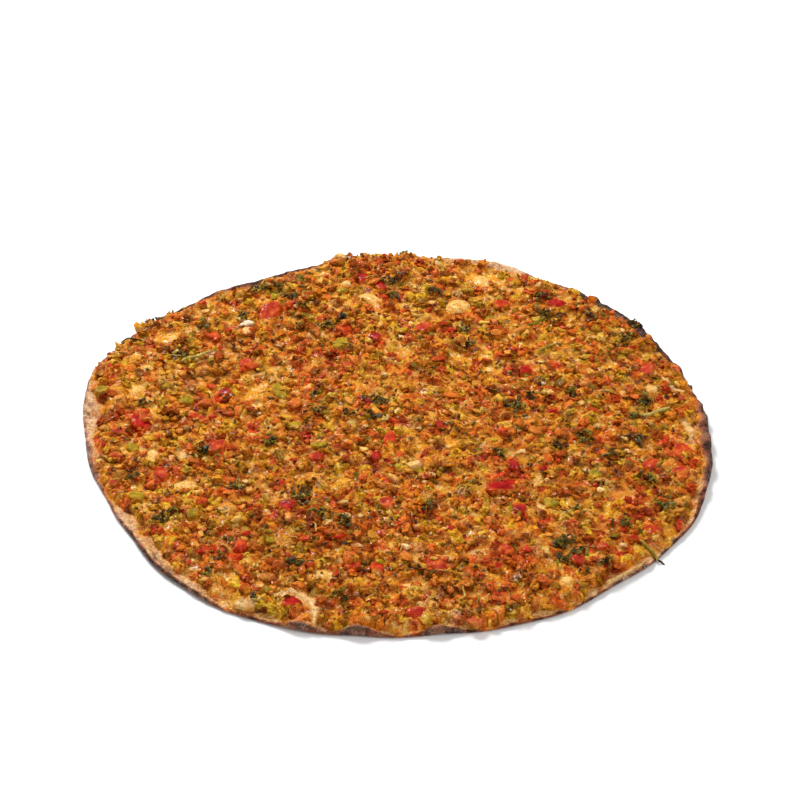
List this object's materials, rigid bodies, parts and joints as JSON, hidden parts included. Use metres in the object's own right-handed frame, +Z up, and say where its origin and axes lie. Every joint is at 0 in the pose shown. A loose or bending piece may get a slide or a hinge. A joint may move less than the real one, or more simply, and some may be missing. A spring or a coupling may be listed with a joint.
{
  "type": "lahmacun",
  "caption": "Thin round flatbread with a narrow browned rim, baked under an uneven topping of spiced minced meat, herbs and pieces of tomato and pepper.",
  "frame": {"origin": "on the table plane, at the middle of the box round the bread's outline", "axes": "+Z up out of the topping; +X to the right and +Y away, as a diner facing it sees it"},
  "size_m": [0.3016, 0.2992, 0.0103],
  "materials": {
    "bread": "dry floury baked dough, browned to charred along the edge",
    "meat_topping": "oily minced meat and tomato sauce, crumbly",
    "tomato": "moist, glossy, slightly translucent",
    "red_pepper": "moist, glossy",
    "green_pepper": "moist, satin"
  },
  "bodies": {
    "root": {"bread": "bread", "green_pepper_01": "green_pepper", "green_pepper_02": "green_pepper", "green_pepper_03": "green_pepper", "green_pepper_04": "green_pepper", "green_pepper_05": "green_pepper", "green_pepper_06": "green_pepper", "green_pepper_07": "green_pepper", "green_pepper_08": "green_pepper", "green_pepper_09": "green_pepper", "green_pepper_10": "green_pepper", "meat_topping": "meat_topping", "red_pepper_01": "red_pepper", "red_pepper_02": "red_pepper", "red_pepper_03": "red_pepper", "red_pepper_04": "red_pepper", "red_pepper_05": "red_pepper", "red_pepper_06": "red_pepper", "red_pepper_07": "red_pepper", "red_pepper_08": "red_pepper", "red_pepper_09": "red_pepper", "red_pepper_10": "red_pepper", "red_pepper_11": "red_pepper", "red_pepper_12": "red_pepper", "red_pepper_13": "red_pepper", "tomato_01": "tomato", "tomato_02": "tomato", "tomato_03": "tomato", "tomato_04": "tomato", "tomato_05": "tomato", "tomato_06": "tomato", "tomato_07": "tomato", "tomato_08": "tomato", "tomato_09": "tomato", "tomato_10": "tomato", "tomato_11": "tomato", "tomato_12": "tomato", "tomato_13": "tomato", "tomato_14": "tomato", "tomato_15": "tomato", "tomato_16": "tomato", "tomato_17": "tomato", "tomato_18": "tomato", "tomato_19": "tomato", "tomato_20": "tomato", "tomato_21": "tomato", "tomato_22": "tomato"}
  },
  "joints": []
}
